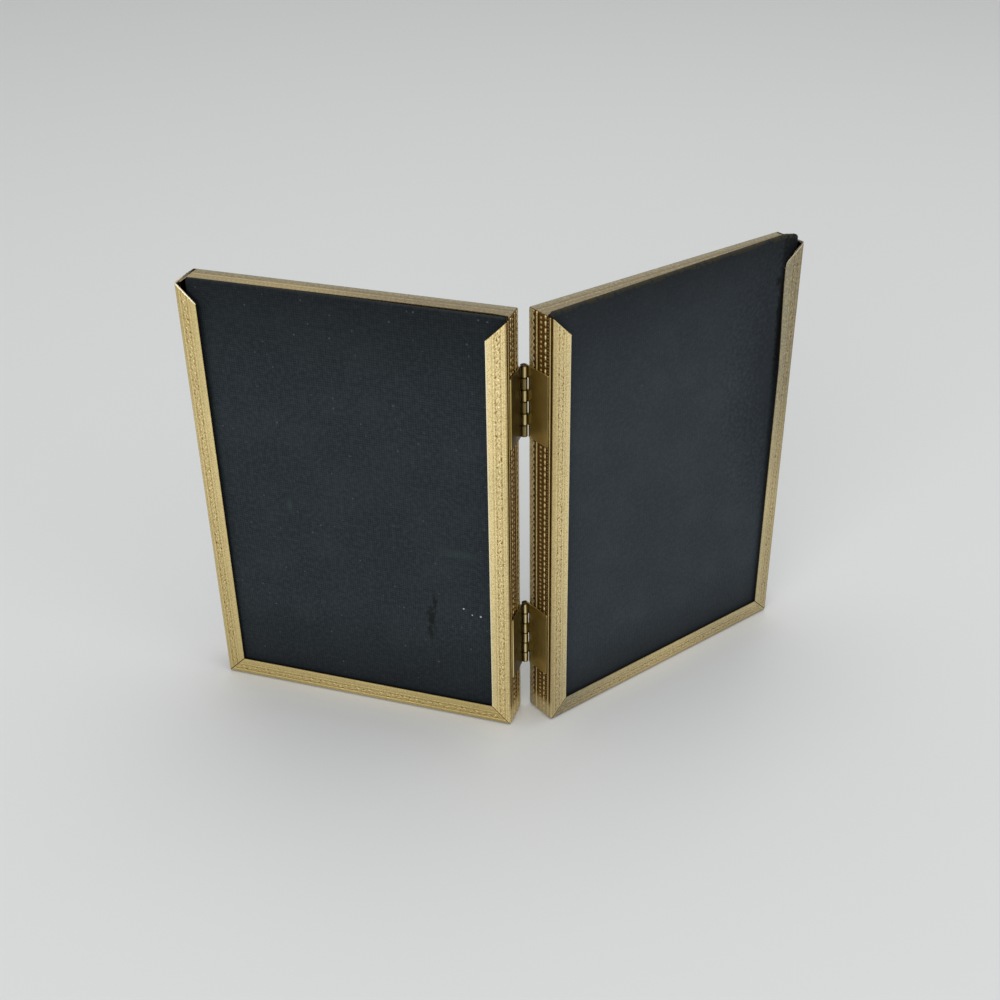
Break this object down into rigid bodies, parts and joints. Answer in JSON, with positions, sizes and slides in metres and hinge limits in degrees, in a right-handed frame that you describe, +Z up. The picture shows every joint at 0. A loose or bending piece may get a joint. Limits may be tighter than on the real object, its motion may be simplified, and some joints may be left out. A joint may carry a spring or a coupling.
{
  "type": "hinged double photo frame",
  "caption": "Hinged double photo frame in embossed brass channel, glazed for small prints, folding on butt hinges, with cloth-covered backing boards that slide up and out.",
  "frame": {"origin": "On the floor, at the centre of the bounding box of the frame standing open at 125 degrees.", "axes": "+Z up, +Y the way the pictures face, +X across both frames, with the hinge axis on x = 0."},
  "size_m": [0.1792, 0.053, 0.1343],
  "materials": {
    "embossed_brass": "satin, aged",
    "hinge_brass": "satin, darkened",
    "glass": "clear, polished",
    "photo_paper": "plain, matt",
    "grey_card": "rough",
    "brown_card": "rough",
    "black_cloth": "fine plain weave"
  },
  "bodies": {
    "left_frame": {"left_top_rail": "embossed_brass", "left_bottom_rail": "embossed_brass", "left_inner_stile": "embossed_brass", "left_outer_stile": "embossed_brass", "left_glass": "glass", "left_photo_card": "photo_paper", "left_packing_card": "grey_card", "upper_hinge_left_leaf": "hinge_brass", "upper_hinge_pin": "hinge_brass", "lower_hinge_left_leaf": "hinge_brass", "lower_hinge_pin": "hinge_brass"},
    "right_frame": {"right_top_rail": "embossed_brass", "right_bottom_rail": "embossed_brass", "right_inner_stile": "embossed_brass", "right_outer_stile": "embossed_brass", "right_glass": "glass", "right_photo_card": "photo_paper", "right_packing_card": "grey_card", "upper_hinge_right_leaf": "hinge_brass", "lower_hinge_right_leaf": "hinge_brass"},
    "left_back": {"left_backing_board": "brown_card", "left_backing_cloth": "black_cloth"},
    "right_back": {"right_backing_board": "brown_card", "right_backing_cloth": "black_cloth"}
  },
  "joints": [
    {"name": "fold", "type": "hinge", "parent": "left_frame", "child": "right_frame", "pos_m": [0, -0.01709, 0], "axis": [0, 0, 1], "range_deg": [-60, 125]},
    {"name": "left_back_lift", "type": "slide", "parent": "left_frame", "child": "left_back", "axis": [0.0034, 0.0064, 1], "range_m": [0, 0.135]},
    {"name": "right_back_lift", "type": "slide", "parent": "right_frame", "child": "right_back", "axis": [-0.0018, 0.0034, 1], "range_m": [0, 0.135]}
  ]
}
